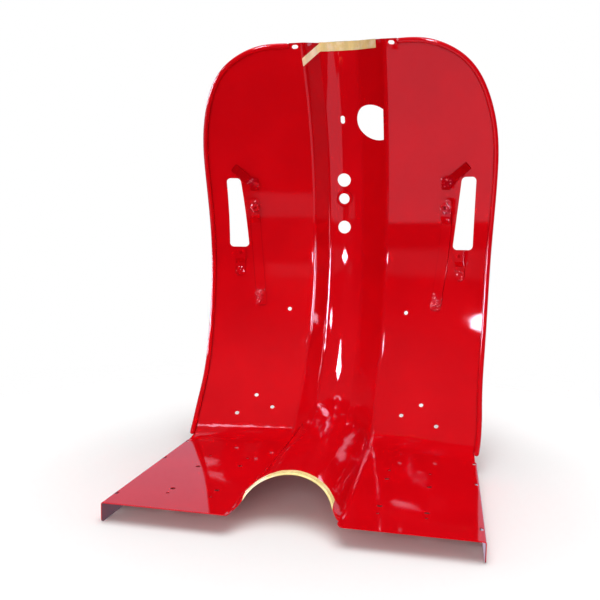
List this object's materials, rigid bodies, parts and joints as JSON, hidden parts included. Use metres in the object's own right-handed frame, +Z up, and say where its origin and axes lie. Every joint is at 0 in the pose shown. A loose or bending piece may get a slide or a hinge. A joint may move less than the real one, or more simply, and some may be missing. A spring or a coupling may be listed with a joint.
{
  "type": "scooter leg shield",
  "caption": "Red painted pressed-steel scooter leg shield with footboards, a central tunnel, rolled wing edges, side slots, welded brackets and masking tape on the cut edges.",
  "frame": {"origin": "on the mid-plane, on the top surface of the footboard, at the centre of the four outer bolt holes", "axes": "+X to the rider's right, +Y forward to the front wheel, +Z up"},
  "size_m": [0.497, 0.4968, 0.6613],
  "materials": {
    "red_paint": "deep glossy red enamel, smooth, with a wet shine",
    "masking_tape": "matte creped tan masking tape"
  },
  "bodies": {
    "root": {"shield_panel": "red_paint", "tunnel_collar": "red_paint", "left_strap": "red_paint", "right_strap": "red_paint", "strap_weld_nuts": "red_paint", "left_lower_tab": "red_paint", "right_lower_tab": "red_paint", "left_upper_clip": "red_paint", "right_upper_clip": "red_paint", "top_edge_tape": "masking_tape", "arch_edge_tape": "masking_tape"}
  },
  "joints": []
}
